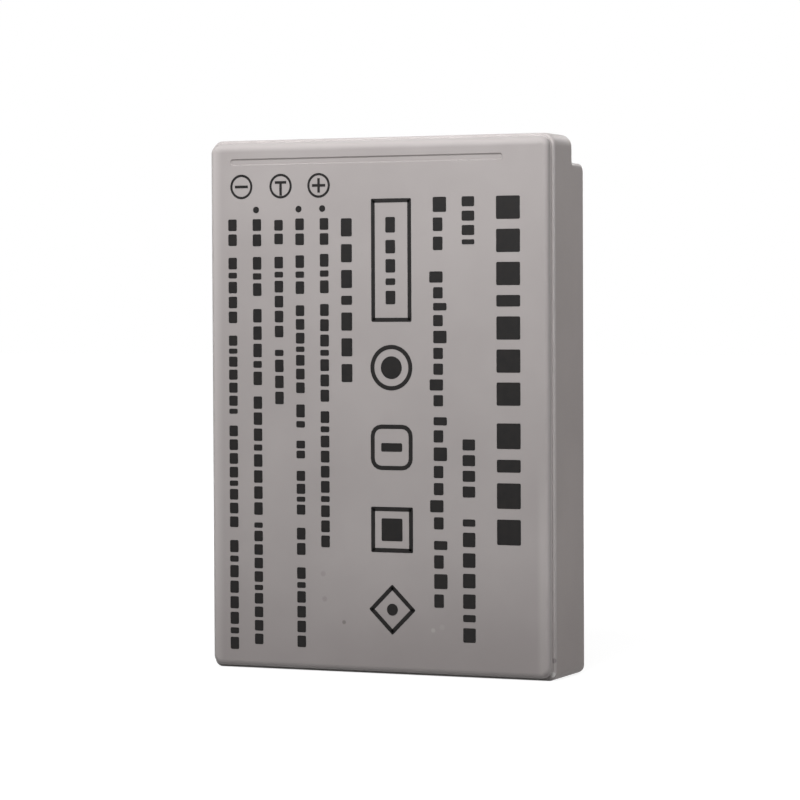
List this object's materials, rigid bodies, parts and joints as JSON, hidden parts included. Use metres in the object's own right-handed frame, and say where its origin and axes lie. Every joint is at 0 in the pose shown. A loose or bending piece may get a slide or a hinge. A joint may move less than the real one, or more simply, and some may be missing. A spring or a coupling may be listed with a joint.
{
  "type": "rechargeable battery pack",
  "caption": "Flat rechargeable battery pack: moulded housing with a lapped seam, a stepped terminal end with contact windows, and a sealed cell with its protection board inside.",
  "frame": {"origin": "middle of the pack's outline at its base", "axes": "+Z from the base to the terminal end, +Y from the label face to the back, +X to the right of someone facing the label"},
  "size_m": [0.0312, 0.0078, 0.0449],
  "materials": {
    "housing": "warm grey moulded plastic, satin",
    "print_ink": "dark screen-printed ink, matte",
    "cell_can": "drawn can, satin",
    "adhesive_pad": "white double-sided foam pad",
    "gasket": "moulded seal, matte",
    "nickel": "nickel strip, satin",
    "insulating_paper": "vulcanised fibre paper, matte",
    "fuse_body": "polymer fuse, matte",
    "circuit_board": "solder-masked laminate, satin",
    "chip_package": "moulded epoxy, matte",
    "chip_ceramic": "ceramic chip, matte",
    "contact_plating": "gold-plated contact, bright"
  },
  "bodies": {
    "root": {"front_cover": "housing", "rear_case": "housing", "cell_can": "cell_can", "front_adhesive_pad": "adhesive_pad", "rear_adhesive_pad": "adhesive_pad", "rivet_gasket": "gasket", "negative_rivet": "nickel", "lid_paper": "insulating_paper", "fuse_inner_lead": "nickel", "resettable_fuse": "fuse_body", "fuse_outer_lead": "nickel", "positive_strip": "nickel", "protection_board": "circuit_board", "mosfet_pair": "chip_package", "protection_controller": "chip_package", "thermistor": "chip_ceramic", "chip_resistors": "chip_ceramic", "chip_capacitor": "chip_ceramic", "contact_negative": "contact_plating", "contact_temperature": "contact_plating", "contact_positive": "contact_plating"}
  },
  "joints": []
}
